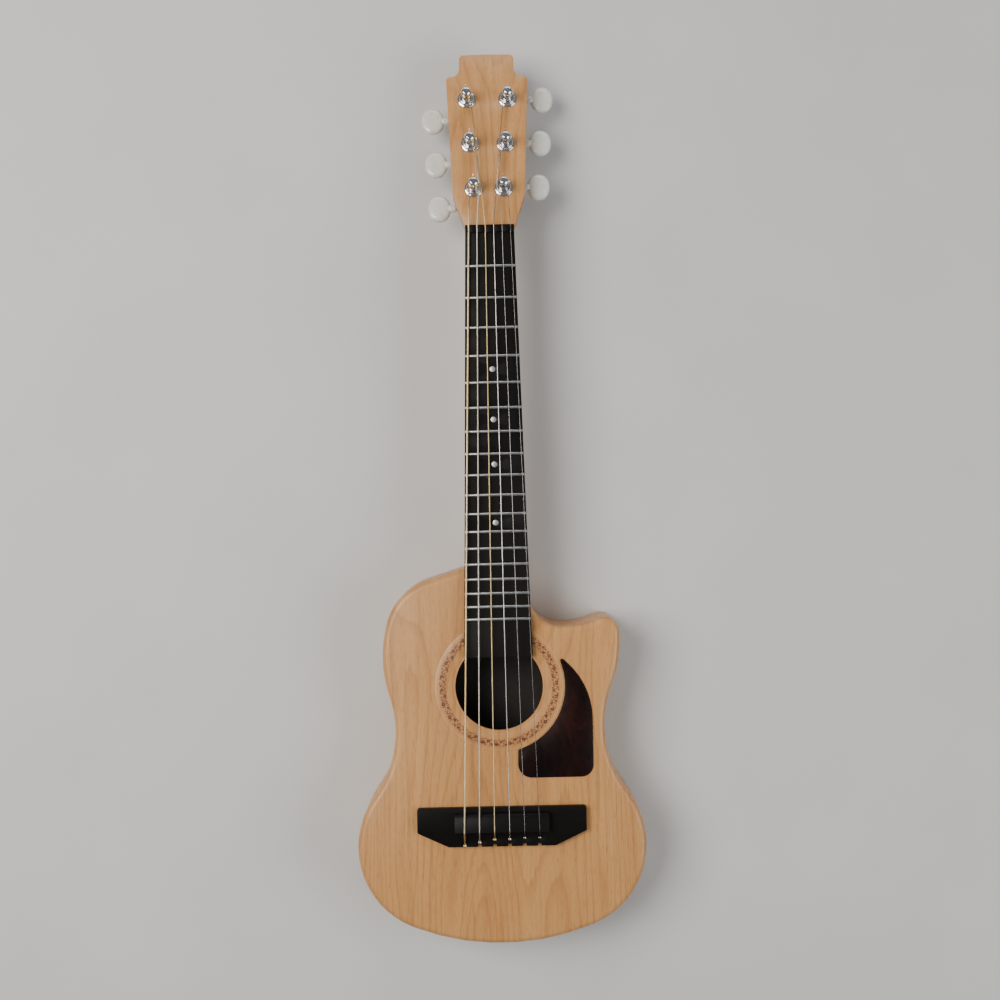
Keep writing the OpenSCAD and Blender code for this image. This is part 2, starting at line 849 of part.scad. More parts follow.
module worm_wheel(i) {
    root_r = wheel_pitch_r - dedendum;
    flank = [for (k = [0 : flank_steps])
        wheel_pitch_r - flank_foot + k * (addendum + flank_foot) / flank_steps];
    rise = concat([[root_r, tooth_half(flank[0])]], [for (r = flank) [r, tooth_half(r)]]);
    twist = wheel_width * worm_lead / (2 * PI * worm_pitch_r) / wheel_pitch_r * 180 / PI;
    color(brass) at_tuner(i) difference() {
        union() {
            translate([0, 0, wheel_z]) rotate([0, 0, -twist / 2])
                linear_extrude(wheel_width, center = true, twist = -twist, slices = 1)
                polygon([for (k = [0 : wheel_teeth - 1])
                    let (middle = (k + 0.5) * 360 / wheel_teeth)
                    each concat(
                        [for (p = rise) p[0] * [cos(middle - p[1]), sin(middle - p[1])]],
                        [for (p = reversed(rise)) p[0] * [cos(middle + p[1]), sin(middle + p[1])]])]);
            translate([0, 0, wheel_z]) cylinder(r = wheel_hub_r, h = hub_top - wheel_z);
        }
        translate([-seat / 2, -seat / 2, wheel_base - cut])
            cube([seat, seat, hub_top - wheel_base + 2 * cut]);
    }
}

module wheel_screw(i) {
    color(silver) at_tuner(i) translate([0, 0, wheel_base])
        screw(small_screw_r, wheel_screw_length, wheel_screw_head[0], wheel_screw_head[1]);
}

// Half width of the worm thread at radius r
function thread_half(r) =
    (PI * gear_module - 2 * backlash) / 4 - (r - worm_pitch_r) * tan(pressure_angle);

// Shaft with a right-handed thread, whose crest faces the wheel at the shaft's middle
module worm(i) {
    root_r = shaft_r - thread_bite;
    tip_r = worm_tip_r;
    steps = round(worm_length / worm_lead * worm_steps);
    color(silver) at_tuner(i) translate([0, gear_distance, wheel_z]) {
        translate([-lug_from - lug_thickness - shaft_tail, 0, 0]) rotate([0, 90, 0])
            cylinder(r = shaft_r, h = knob_start + knob_grip + lug_from + lug_thickness + shaft_tail);
        loft([for (k = [0 : steps])
            let (t = (k - steps / 2) / worm_steps, a = 180 + 360 * t)
            [for (p = [[-thread_half(root_r), root_r], [thread_half(root_r), root_r],
                       [thread_half(tip_r), tip_r], [-thread_half(tip_r), tip_r]])
                [worm_lead * t + p[0], p[1] * cos(a), p[1] * sin(a)]]]);
    }
}

module knob(i) {
    color(pearl) at_tuner(i) translate([0, gear_distance, wheel_z]) difference() {
        union() {
            translate([knob_start, 0, 0])
                loft([for (p = KNOB_PILLOW) ring(outline(KNOB_ARCS, p[1], knob_step), p[0])]);
            translate([stem_start, 0, 0]) rotate([0, 90, 0]) cylinder(r = stem_r, h = stem_length);
        }
        rotate([0, 90, 0]) cylinder(r = shaft_r, h = knob_start + knob_grip);
    }
}

// ---------- strings ----------

function unit(v) = v / norm(v);

// Direction of a route at its point i, halfway between the stretches that meet there
function heading(points, i) =
    let (
        last = len(points) - 1,
        after = i < last ? unit(points[i + 1] - points[i]) : unit(points[i] - points[i - 1]),
        before = i > 0 ? unit(points[i] - points[i - 1]) : after
    )
    unit(after + before);

function string_ring(points, i, radius) =
    let (
        ahead = heading(points, i),
        side = unit(cross(ahead, [0, 0, 1])),
        third = cross(ahead, side)
    )
    [for (k = [0 : string_sides - 1])
        let (a = 360 * (k + 0.5) / string_sides)
        points[i] + radius * (cos(a) * side + sin(a) * third)];

// A point at x, distance s up the headstock and height h above its face
function head_point(x, s, h) =
    [x,
     head_y + s * cos(head_tilt) + h * sin(head_tilt),
     head_face_z - s * sin(head_tilt) + h * cos(head_tilt)];

// Side of its post that a string comes to: the outer strings pass outside, the rest inside
function post_pass(i) = (i == 1 || i == 6) ? tuner_side(i) : -tuner_side(i);

// The middle strings of each side lean on the inner side of the first post
function lean(i) =
    tuner_level(i) == 1
        ? [head_point(tuner_side(i) * (post_half_gap - post_r - string_gap - STRING_D[i - 1] / 2),
                      first_post, lean_z)]
        : [];

function string_route(i) =
    let (
        r = STRING_D[i - 1] / 2,
        clear_r = waist_r + 2 * r + string_gap,
        stop = sqrt(pow(clear_r, 2) - pow(waist_r, 2))
    )
    concat(
        [[bridge_x(i), KNOT_Y[i - 1], body_depth + bridge_base_h - 0.3],
         [bridge_x(i), saddle_y, bridge_string_z + r + string_touch],
         [nut_x(i), nut_y, nut_string_z + r + string_touch],
         [nut_x(i), nut_y + nut_thickness, nut_string_z + r + string_touch]],
        lean(i),
        [head_point(post_x(i) + post_pass(i) * (waist_r + r), post_s(i) - stop,
                    WINDING_Z[tuner_level(i)])]);

module string(i) {
    route = string_route(i);
    color(i <= 3 ? brass : silver) {
        loft([for (k = [0 : len(route) - 1]) string_ring(route, k, STRING_D[i - 1] / 2)]);
        translate(route[0]) sphere(r = knot_r);
    }
}

// ---------- the parts ----------

front_shell();
back_shell();
neck();
headstock_face();
fingerboard();
frets();
position_dots();
nut();
bridge();
rosette();
pickguard();
tuner_plates();
bushings();
tuner_screws();
body_screws();
bridge_screws();
for (i = TUNERS) {
    string(i);
    post(i);
    winding(i);
    worm_wheel(i);
    wheel_screw(i);
    worm(i);
    knob(i);
}
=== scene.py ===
"""Looks of the toy guitar. It lies on its back: x to the treble side, y to the headstock, z up."""

import json
import math

import bmesh
import bpy
from mathutils import Matrix, Vector


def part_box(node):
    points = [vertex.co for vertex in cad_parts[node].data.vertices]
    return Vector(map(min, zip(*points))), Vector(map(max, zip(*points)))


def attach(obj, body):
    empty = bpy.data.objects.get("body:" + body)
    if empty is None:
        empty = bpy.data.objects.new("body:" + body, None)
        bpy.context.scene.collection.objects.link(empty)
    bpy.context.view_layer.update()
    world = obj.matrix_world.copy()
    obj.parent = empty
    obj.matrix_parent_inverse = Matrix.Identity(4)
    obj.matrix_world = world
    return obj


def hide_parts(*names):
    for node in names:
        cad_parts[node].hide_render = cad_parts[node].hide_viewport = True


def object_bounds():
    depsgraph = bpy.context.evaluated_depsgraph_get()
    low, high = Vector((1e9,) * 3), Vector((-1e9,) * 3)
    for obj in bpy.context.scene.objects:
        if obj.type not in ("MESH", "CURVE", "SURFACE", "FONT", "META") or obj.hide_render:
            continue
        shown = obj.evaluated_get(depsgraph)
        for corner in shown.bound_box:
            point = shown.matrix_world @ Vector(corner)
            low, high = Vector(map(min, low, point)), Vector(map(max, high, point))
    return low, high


MM = 0.001
TUNERS = range(1, 7)

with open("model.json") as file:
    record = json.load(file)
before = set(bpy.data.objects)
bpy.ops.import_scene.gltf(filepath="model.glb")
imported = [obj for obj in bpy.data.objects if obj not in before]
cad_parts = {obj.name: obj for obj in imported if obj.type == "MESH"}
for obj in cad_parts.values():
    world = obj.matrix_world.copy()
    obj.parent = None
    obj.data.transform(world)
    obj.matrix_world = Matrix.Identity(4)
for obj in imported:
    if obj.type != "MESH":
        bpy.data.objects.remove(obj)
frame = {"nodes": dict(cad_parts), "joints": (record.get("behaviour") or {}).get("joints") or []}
cad_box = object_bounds()
nodes = frame["nodes"]
joints = {joint["name"]: joint for joint in frame["joints"]}


# ---------- places read from the CAD ----------


def top(node):
    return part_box(node)[1].z


def tuner_frame(i):
    """Frame of one tuning machine: z up its post from the headstock face, x out to its knob."""
    post, knob = joints[f"post_turn_{i}"], joints[f"knob_turn_{i}"]
    up, out = Vector(post["axis"]).normalized(), Vector(knob["axis"]).normalized()
    across = up.cross(out)
    axes = Matrix((out, across, up)).transposed().to_4x4()
    return Matrix.Translation(Vector(post["pos_m"])) @ axes


def knob_axis(i):
    """Place of a knob's axis in its machine's frame, in millimetres."""
    return tuner_frame(i).inverted() @ Vector(joints[f"knob_turn_{i}"]["pos_m"]) / MM


SOUNDBOARD = top("front_shell")
HOLE_LOW, HOLE_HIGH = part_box("rosette")
HOLE_RADIUS = (HOLE_HIGH.x - HOLE_LOW.x) / 2
HOLE = Vector((0, HOLE_LOW.y + HOLE_RADIUS, SOUNDBOARD))


# ---------- shaders ----------


class Shader:
    """A node material, with one short call for each kind of node that it uses."""

    def __init__(self, name, **constants):
        self.material = bpy.data.materials.new(name)
        self.material.use_nodes = True
        self.tree = self.material.node_tree
        self.surface = self.tree.nodes["Principled BSDF"]
        for socket, value in constants.items():
            self.surface.inputs[socket.replace("_", " ")].default_value = value

    def node(self, kind, **options):
        made = self.tree.nodes.new("ShaderNode" + kind)
        for key, value in options.items():
            setattr(made, key, value)
        return made

    def put(self, socket, value):
        if isinstance(value, bpy.types.NodeSocket):
            self.tree.links.new(value, socket)
        else:
            socket.default_value = value

    def set(self, socket, value):
        self.put(self.surface.inputs[socket], value)

    def math(self, operation, *values):
        made = self.node("Math", operation=operation)
        for socket, value in zip(made.inputs, values):
            self.put(socket, value)
        return made.outputs[0]

    def position(self, scale=(1, 1, 1), origin=(0, 0, 0)):
        """Place on the piece in millimetres from origin, stretched by scale."""
        made = self.node("Mapping", vector_type="TEXTURE")
        self.put(made.inputs["Vector"], self.node("TexCoord").outputs["Object"])
        made.inputs["Location"].default_value = origin
        made.inputs["Scale"].default_value = [MM / s for s in scale]
        return made.outputs[0]

    def around_hole(self):
        """Place from the soundhole's axis and the soundboard, then distance from the axis, in millimetres."""
        place = self.node("SeparateXYZ")
        self.put(place.inputs[0], self.position(origin=HOLE))
        x, y, z = place.outputs
        return x, y, z, self.length(x, y)

    def length(self, x, y):
        return self.math("SQRT", self.math("ADD", self.math("MULTIPLY", x, x), self.math("MULTIPLY", y, y)))

    def noise(self, vector, scale=1.0, detail=2.0, roughness=0.5, distortion=0.0):
        made = self.node("TexNoise")
        self.put(made.inputs["Vector"], vector)
        made.inputs["Scale"].default_value = scale
        made.inputs["Detail"].default_value = detail
        made.inputs["Roughness"].default_value = roughness
        made.inputs["Distortion"].default_value = distortion
        return made.outputs["Fac"]

    def moved(self, vector, amount, scale):
        """The vector pushed along x by a slow noise."""
        made = self.node("VectorMath", operation="ADD")
        shift = self.node("CombineXYZ")
        wave = self.noise(vector, scale, 1.5)
        self.put(shift.inputs[0], self.math("MULTIPLY_ADD", wave, amount, -amount / 2))
        self.put(made.inputs[0], vector)
        self.put(made.inputs[1], shift.outputs[0])
        return made.outputs[0]

    def ramp(self, value, *stops):
        """Colour or grey at value, from pairs of place and colour."""
        made = self.node("ValToRGB")
        spots = made.color_ramp.elements
        while len(spots) < len(stops):
            spots.new(0.5)
        for spot, (place, colour) in zip(spots, stops):
            spot.position = place
            grey = isinstance(colour, (int, float))
            spot.color = [colour] * 3 + [1] if grey else [*colour, 1]
        self.put(made.inputs[0], value)
        return made.outputs[0]

    def mix(self, share, a, b, blend="MIX"):
        made = self.node("Mix", data_type="RGBA", blend_type=blend)
        self.put(made.inputs["Factor"], share)
        for socket, value in ((made.inputs[6], a), (made.inputs[7], b)):
            self.put(socket, [*value, 1] if isinstance(value, tuple) else value)
        return made.outputs[2]

    def bump(self, height, depth_mm, strength=1.0):
        made = self.node("Bump")
        self.put(made.inputs["Height"], height)
        made.inputs["Distance"].default_value = depth_mm * MM
        made.inputs["Strength"].default_value = strength
        self.set("Normal", made.outputs[0])


GROWTH_RINGS = 26
# The wood print also covers the wall of the soundhole, down to this depth below the soundboard
HOLE_WALL_R, HOLE_WALL_DEPTH = 28.9, 2.2


def wood_grain(shader, shift=0.0):
    """Colour, roughness and height of a pale maple print whose grain runs along the guitar."""
    along = shader.position((1, 0.035, 0.3), origin=(shift * MM, 0, 0))
    bent = shader.moved(along, 26, 0.035)
    bands = shader.noise(bent, 0.045, 3, 0.55)
    streaks = shader.noise(bent, 0.42, 5, 0.62)
    fine = shader.noise(shader.position((1, 0.07, 0.4)), 2.0, 3, 0.6)
    # Growth rings are the contours of a slow noise, so they close in long arches
    arches = shader.noise(shader.position((1, 0.16, 0.3), origin=(shift * MM, 0, 0)), 0.021, 1.2, 0.35)
    rings = shader.math(
        "FRACT", shader.math("MULTIPLY_ADD", streaks, 0.5, shader.math("MULTIPLY", arches, GROWTH_RINGS)))
    base = shader.ramp(bands, (0.3, (0.530, 0.250, 0.080)), (0.7, (0.615, 0.312, 0.110)))
    streaked = shader.mix(
        0.5, base, shader.ramp(streaks, (0.32, (0.72, 0.63, 0.54)), (0.56, (1.0, 1.0, 1.0))), "MULTIPLY")
    lined = shader.mix(
        0.55, streaked,
        shader.ramp(rings, (0.0, 1.0), (0.6, 1.0), (0.93, (0.76, 0.65, 0.54)), (1.0, 0.97)),
        "MULTIPLY")
    pored = shader.mix(
        0.55, lined, shader.ramp(fine, (0.36, (0.70, 0.59, 0.48)), (0.44, 1.0)), "MULTIPLY")
    return pored, shader.ramp(streaks, (0.3, 0.44), (0.7, 0.36)), streaks


def wood_print(name, shift=0.0, hollow=None):
    """Pale maple print under a satin clear coat. Inside a hollow shell it is near-black with a faint mottle.
    """
    shader = Shader(name, Coat_Weight=0.2, Coat_Roughness=0.3, IOR=1.45)
    wood, rough, height = wood_grain(shader, shift)
    if hollow is None:
        shader.set("Base Color", wood)
        shader.set("Roughness", rough)
    else:
        outward = shader.node("VectorMath", operation="DOT_PRODUCT")
        shader.put(outward.inputs[0], shader.node("TexCoord").outputs["Normal"])
        shader.put(outward.inputs[1], shader.position((1, 1, 4), origin=hollow))
        height_here, radius = shader.around_hole()[2:]
        hole_wall = shader.math(
            "MULTIPLY", shader.math("LESS_THAN", radius, HOLE_WALL_R),
            shader.math("GREATER_THAN", height_here, -HOLE_WALL_DEPTH))
        faces_out = shader.math("GREATER_THAN", outward.outputs["Value"], 0)
        outside = shader.math("MAXIMUM", faces_out, hole_wall)
        mottle = shader.noise(shader.position(), 0.25, 3)
        inner = shader.ramp(mottle, (0.3, (0.010, 0.006, 0.004)), (0.7, (0.018, 0.011, 0.008)))
        shader.set("Base Color", shader.mix(outside, inner, wood))
        shader.set("Roughness", shader.mix(outside, (0.6, 0.6, 0.6), rough))
    shader.bump(height, 0.03, 0.35)
    return shader.material


def moulded(name, dark, light, rough, grain=(1, 1, 1), texture_mm=0.05):
    """Moulded plastic with a faint mottle and a fine texture in its surface."""
    shader = Shader(name, IOR=1.22)
    mottle = shader.noise(shader.position(grain), 0.12, 4, 0.6)
    skin = shader.noise(shader.position(grain), 2.6, 3, 0.6)
    shader.set("Base Color", shader.ramp(mottle, (0.3, dark), (0.7, light)))
    shader.set("Roughness", shader.ramp(skin, (0.3, rough - 0.06), (0.7, rough + 0.08)))
    shader.bump(skin, texture_mm, 0.4)
    return shader.material


def metal(name, colour, rough, brushed=(1, 1, 1), tarnish=0.0):
    """Plated or bare metal with fine brushing and a little dulling."""
    shader = Shader(name, Metallic=1.0)
    brush = shader.noise(shader.position(brushed), 3.2, 3, 0.7)
    cloud = shader.noise(shader.position(), 0.5, 3)
    dull = tuple(c * (1 - tarnish) for c in colour)
    shader.set("Base Color", shader.ramp(cloud, (0.35, dull), (0.65, colour)))
    shader.set("Roughness", shader.ramp(brush, (0.3, max(0.04, rough - 0.05)), (0.7, rough + 0.07)))
    shader.bump(brush, 0.012, 0.3)
    return shader.material


def tortoise():
    shader = Shader("dark_tortoise", Coat_Weight=0.22, Coat_Roughness=0.1, IOR=1.3)
    cloud = shader.noise(shader.position((1, 0.6, 1)), 0.07, 4, 0.62, 0.8)
    fleck = shader.noise(shader.position(), 0.35, 3, 0.6)
    deep = shader.ramp(
        cloud, (0.35, (0.004, 0.0012, 0.001)), (0.55, (0.012, 0.003, 0.002)), (0.7, (0.024, 0.006, 0.004)))
    shader.set("Base Color", shader.mix(0.35, deep, shader.ramp(fleck, (0.4, 0.6), (0.6, 1.0)), "MULTIPLY"))
    shader.set("Roughness", shader.ramp(fleck, (0.3, 0.24), (0.7, 0.27)))
    shader.bump(shader.noise(shader.position(), 0.2, 2), 0.02, 0.05)
    return shader.material


def pearl():
    shader = Shader("pearl_plastic", Coat_Weight=0.7, Coat_Roughness=0.08, Subsurface_Weight=0.12)
    shader.surface.inputs["Subsurface Radius"].default_value = (0.003, 0.0025, 0.002)
    swirl = shader.noise(shader.position((1, 0.5, 1)), 0.28, 4, 0.6, 2.2)
    shader.set("Base Color", shader.ramp(
        swirl, (0.3, (0.60, 0.585, 0.53)), (0.5, (0.78, 0.765, 0.70)), (0.7, (0.70, 0.71, 0.68))))
    shader.set("Roughness", shader.ramp(swirl, (0.3, 0.30), (0.7, 0.20)))
    shader.bump(swirl, 0.04, 0.12)
    return shader.material


def wire(name, colour, pitch_mm):
    """String wire. A pitch gives it a winding, which runs along the guitar's length."""
    shader = Shader(name, Metallic=1.0)
    cloud = shader.noise(shader.position((1, 0.2, 1)), 0.6, 3)
    shader.set("Base Color", shader.ramp(cloud, (0.3, tuple(c * 0.82 for c in colour)), (0.7, colour)))
    if pitch_mm:
        turns = shader.node("TexWave", wave_type="BANDS", bands_direction="Y", wave_profile="SIN")
        shader.put(turns.inputs["Vector"], shader.position())
        turns.inputs["Scale"].default_value = math.pi / 10 / pitch_mm
        shader.bump(turns.outputs["Fac"], 0.06, 0.5)
        shader.set("Roughness", shader.ramp(turns.outputs["Fac"], (0.2, 0.46), (0.8, 0.26)))
    else:
        shader.set("Roughness", shader.ramp(cloud, (0.3, 0.30), (0.7, 0.20)))
    return shader.material


BAND_RADIUS, BAND_HALF = 37.0, 2.6
BAND_CELLS = 26
BLOSSOM_EYE = 0.26
PALE_EDGE_R = 41.0
# Flowers of one cell: along the band, across it, size, petals and how deep they are cut
BLOSSOMS = [(-2.6, 0.8, 1.15, 5, 0.34), (0.9, -0.9, 0.98, 6, 0.28), (3.5, 1.2, 0.72, 5, 0.2)]
LEAVES = [(-1.1, -1.8, 0.52), (-0.6, 1.7, 0.46), (1.9, 1.7, 0.50), (2.7, -1.9, 0.50), (-4.0, -1.3, 0.54),
          (4.3, -0.7, 0.46), (-2.6, -1.4, 0.36), (2.3, 0.4, 0.34)]


def rosette_print():
    """The soundboard's wood with a printed band of small brown flowers on vines, and a fine pale edge."""
    shader = Shader("rosette_print", Coat_Weight=0.2, Coat_Roughness=0.3, IOR=1.45)
    wood, rough, height = wood_grain(shader)
    calc = shader.math
    x, y, _, radius = shader.around_hole()
    cell = calc("FRACT", calc("MULTIPLY", calc("ARCTAN2", y, x), BAND_CELLS / (2 * math.pi)))
    step = 2 * math.pi * BAND_RADIUS / BAND_CELLS
    straying = shader.noise(shader.position(), 0.30, 1.5)
    drifting = shader.noise(shader.position(origin=(0.05, 0.02, 0)), 0.36, 1.5)
    along = calc("MULTIPLY_ADD", straying, 2.4, calc("MULTIPLY_ADD", cell, step, -step / 2 - 1.2))
    plain_across = calc("SUBTRACT", radius, BAND_RADIUS)
    across = calc("MULTIPLY_ADD", drifting, 2.2, calc("ADD", plain_across, -1.1))

    def disc(a, b, size, petals=0, cut=0.0):
        """1 inside a disc or a petalled flower at (a, b) in the cell."""
        da, db = calc("SUBTRACT", along, a), calc("SUBTRACT", across, b)
        far = shader.length(da, db)
        edge = size
        if petals:
            lobes = calc("COSINE", calc("MULTIPLY", calc("ARCTAN2", db, da), petals))
            edge = calc("MULTIPLY_ADD", lobes, cut, size)
        return calc("LESS_THAN", far, edge)

    def vine(waves, swing, half):
        """1 along a wavy stem."""
        wave = calc("MULTIPLY", calc("SINE", calc("MULTIPLY", cell, 2 * math.pi * waves)), swing)
        return calc("LESS_THAN", calc("ABSOLUTE", calc("SUBTRACT", across, wave)), half)

    def any_of(masks):
        found = masks[0]
        for mask in masks[1:]:
            found = calc("MAXIMUM", found, mask)
        return found

    flowers = any_of([disc(*blossom) for blossom in BLOSSOMS])
    eyes = any_of([disc(a, b, BLOSSOM_EYE) for a, b, *_ in BLOSSOMS])
    stems = any_of([vine(1, 1.5, 0.24), vine(2, -1.2, 0.2)] + [disc(*leaf) for leaf in LEAVES])
    dust = calc("GREATER_THAN", shader.noise(shader.position(), 1.5, 2, 0.6), 0.60)
    within = calc("LESS_THAN", calc("ABSOLUTE", plain_across), BAND_HALF)
    worn = shader.ramp(shader.noise(shader.position(), 0.45, 2), (0.3, 0.72), (0.6, 1.0))
    marks = calc("MAXIMUM", calc("MULTIPLY", stems, 0.74), calc("MULTIPLY", dust, 0.5))
    marks = calc("MAXIMUM", calc("MULTIPLY", calc("SUBTRACT", flowers, eyes), 0.95), marks)
    marks = calc("MULTIPLY", calc("MULTIPLY", marks, within), worn)
    pale_edge = calc("MULTIPLY", calc("GREATER_THAN", radius, PALE_EDGE_R), 0.15)
    colour = shader.mix(calc("MULTIPLY", within, 0.26), wood, (0.40, 0.15, 0.09))
    colour = shader.mix(pale_edge, colour, (0.80, 0.56, 0.36))
    shader.set("Base Color", shader.mix(marks, colour, (0.065, 0.016, 0.009)))
    shader.set("Roughness", rough)
    shader.bump(height, 0.03, 0.35)
    return shader.material


# ---------- mesh building ----------

WELD_GAP = 2e-6
BEVEL_ANGLE = math.radians(35)
SHARP_ANGLE = math.radians(32)


def add_piece(name, points, faces, material, smooth=True):
    """New mesh object from points in metres."""
    mesh = bpy.data.meshes.new(name)
    mesh.from_pydata([tuple(p) for p in points], [], faces)
    work = bmesh.new()
    work.from_mesh(mesh)
    bmesh.ops.remove_doubles(work, verts=work.verts, dist=1e-7)
    bmesh.ops.recalc_face_normals(work, faces=work.faces)
    for face in work.faces:
        face.smooth = smooth
    work.to_mesh(mesh)
    work.free()
    mesh.materials.append(material)
    piece = bpy.data.objects.new(name, mesh)
    bpy.context.scene.collection.objects.link(piece)
    return piece


def skin(rings, closed=True):
    """Points and faces through rings of equal length, with a cap at each end when closed."""
    count, length = len(rings), len(rings[0])
    points = [p for ring in rings for p in ring]
    faces = []
    for j in range(count - 1):
        for i in range(length):
            k = (i + 1) % length
            faces.append((j * length + i, j * length + k, (j + 1) * length + k, (j + 1) * length + i))
    if closed:
        faces.append(tuple(reversed(range(length))))
        faces.append(tuple(range((count - 1) * length, count * length)))
    return points, faces


def turn_in(steps):
    """Angles of one whole turn in equal steps."""
    return [2 * math.pi * k / steps for k in range(steps)]


def polar(radius, angle, z):
    return Vector((radius * math.cos(angle), radius * math.sin(angle), z))


def turned(profile, segments=64):
    """Rings of a turned shape from (radius, height) pairs in millimetres, lowest first."""
    rings = []
    for radius, height in profile:
        rings.append([polar(radius, angle, height) for angle in turn_in(segments)])
    return rings


def tube(path, radius, sides=10):
    """Points and faces of a round tube along a path of Vectors."""
    rings, side = [], None
    for i, point in enumerate(path):
        ahead = (path[min(i + 1, len(path) - 1)] - path[max(i - 1, 0)]).normalized()
        if side is None:
            side = ahead.orthogonal().normalized()
        side = (side - ahead * side.dot(ahead)).normalized()
        third = ahead.cross(side)
        rings.append([
            point + radius * (math.cos(angle) * side + math.sin(angle) * third)
            for angle in turn_in(sides)])
    return skin(rings)


def soften(piece, width_mm):
    """Rounds a piece's sharp edges a little and shades it smoothly."""
    weld = piece.modifiers.new("weld", "WELD")
    weld.merge_threshold = WELD_GAP
    if width_mm:
        bevel = piece.modifiers.new("edges", "BEVEL")
        bevel.width = width_mm * MM
        bevel.segments = 2
        bevel.limit_method = "ANGLE"
        bevel.angle_limit = BEVEL_ANGLE
        bevel.use_clamp_overlap = True
    split = piece.modifiers.new("sharp", "EDGE_SPLIT")
    split.split_angle = SHARP_ANGLE
    for polygon in piece.data.polygons:
        polygon.use_smooth = True
    for name in ("custom_normal", "sharp_face", "sharp_edge"):
        if name in piece.data.attributes:
            piece.data.attributes.remove(piece.data.attributes[name])


def paint(node, material):
    slots = nodes[node].data.materials
    slots.clear()
    slots.append(material)


# ---------- materials ----------

# A point inside the body that sees all of its outer walls from within
shell_middle = Vector((0, HOLE.y - 28 * MM, SOUNDBOARD / 2))
shell_wood = wood_print("wood_print_shell", hollow=shell_middle)
solid_wood = wood_print("wood_print_neck", shift=60)
black_board = moulded(
    "black_board", (0.0045, 0.0035, 0.003), (0.010, 0.008, 0.0065), 0.46, (1, 0.04, 1), 0.04)
black_bridge = moulded(
    "black_bridge", (0.003, 0.0028, 0.0022), (0.0065, 0.0055, 0.0045), 0.42, (0.08, 1, 1), 0.03)
chrome = metal("chrome", (0.80, 0.81, 0.83), 0.09)
fret_steel = metal("fret_steel", (0.56, 0.565, 0.56), 0.3, (0.05, 1, 1), 0.25)
plated = metal("plated_steel", (0.62, 0.61, 0.59), 0.26, (1, 0.08, 1), 0.15)
dot_foil = metal("dot_foil", (0.72, 0.72, 0.72), 0.36, (1, 1, 1), 0.1)
brass = metal("wheel_brass", (0.78, 0.57, 0.26), 0.24, (1, 1, 0.1), 0.2)
pearl_plastic = pearl()
# Wire colours of strings 1 to 6. Strings 5 and 6 are plain steel like string 4, painted darker as painted
# shade on them and their coils.
STRING_COLOUR_AND_SHADE = [
    (0.84, 0.66, 0.36), (0.66, 0.60, 0.50), (0.80, 0.60, 0.30),
    (0.66, 0.63, 0.58), (0.34, 0.33, 0.31), (0.26, 0.25, 0.24),
]
WOUND_PITCH = [0.42, 0.36, 0.32, 0, 0, 0]
STRING_METAL = {i: wire(f"string_wire_{i}", STRING_COLOUR_AND_SHADE[i - 1], WOUND_PITCH[i - 1]) for i in TUNERS}
COIL_METAL = {i: wire(f"coil_wire_{i}", STRING_COLOUR_AND_SHADE[i - 1], 0) for i in TUNERS}

LOOKS = {
    "front_shell": (shell_wood, 0),
    "back_shell": (shell_wood, 0),
    "neck": (solid_wood, 0),
    "headstock_face": (solid_wood, 0.25),
    "fingerboard": (black_board, 0.25),
    "frets": (fret_steel, 0.08),
    "position_dots": (dot_foil, 0.08),
    "nut": (black_bridge, 0.15),
    "bridge": (black_bridge, 0.4),
    "rosette": (rosette_print(), 0.08),
    "pickguard": (tortoise(), 0.3),
    "tuner_plates": (plated, 0.12),
    "tuner_screws": (plated, 0.1),
    "body_screws": (plated, 0.12),
    "bridge_screws": (plated, 0.12),
}
for node, (material, edge) in LOOKS.items():
    paint(node, material)
    soften(nodes[node], edge)
for i in TUNERS:
    for node, material, edge in (
        (f"post_{i}", chrome, 0.12),
        (f"worm_wheel_{i}", brass, 0.06),
        (f"wheel_screw_{i}", plated, 0.08),
        (f"worm_{i}", plated, 0),
    ):
        paint(node, material)
        soften(nodes[node], edge)


# ---------- tuning machines, built in the frame of tuner_frame ----------

STRING_D = [1.1, 0.9, 0.75, 0.6, 0.45, 0.36]
STRING_TURNS = [3, 3, 4, 5, 6, 8]
STRING_SLOT = ["bronze_wire"] * 3 + ["steel_wire"] * 3
POST_R, WAIST_R = 2.9, 2.3
STRING_HOLE_Z = 11.1
BUSHING = [
    (2.95, 2.0), (2.95, -6.0), (4.0, -6.0), (4.0, 0.0), (6.02, 0.0), (6.16, 0.1), (6.2, 0.3), (6.14, 0.62),
    (5.95, 0.92), (5.6, 1.1), (5.2, 1.2), (4.9, 1.32), (4.72, 1.5), (4.62, 1.75), (4.5, 2.05), (4.28, 2.28),
    (3.95, 2.4), (3.3, 2.4), (3.04, 2.3), (2.95, 2.0),
]
KNOB_HALF = (7.5, 9.0)
KNOB_ROUND = 0.92
# Height above the middle of a knob, and how far its outline shrinks there
KNOB_RIM = [
    (2.5, 5.4), (2.46, 4.0), (2.36, 2.7), (2.16, 1.75), (1.84, 1.05), (1.4, 0.5), (0.85, 0.16), (0.3, 0.02),
]
# Radius of a knob's stem, and the place along it from the knob's inner end
KNOB_STEM = [(1.55, -3.3), (2.15, -3.3), (2.3, -3.1), (2.3, -1.4), (2.42, -0.8), (2.5, -0.2), (2.5, 1.5)]
# How far inside the two ends of the post's cross hole the string lies straight
HOLE_INSET = (0.6, 0.2)
# The string's end beyond its post: how far it sticks out, and how far it curls up
STRING_TAIL = [(1.0, 0.05), (1.9, 0.25), (2.6, 0.7)]
COIL_STEPS = 24
CLIMB_TURN, CLIMB_STEPS = 0.75, 18


def machine_side(i):
    """-1 for the machines of the bass side, 1 for the treble side."""
    return -1 if i <= 3 else 1


def place(piece, i, body, node, slot):
    """Sets a piece that was built in a machine's frame, in millimetres, where its CAD node is."""
    piece.data.transform(tuner_frame(i) @ Matrix.Scale(MM, 4))
    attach(piece, body)
    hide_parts(node)


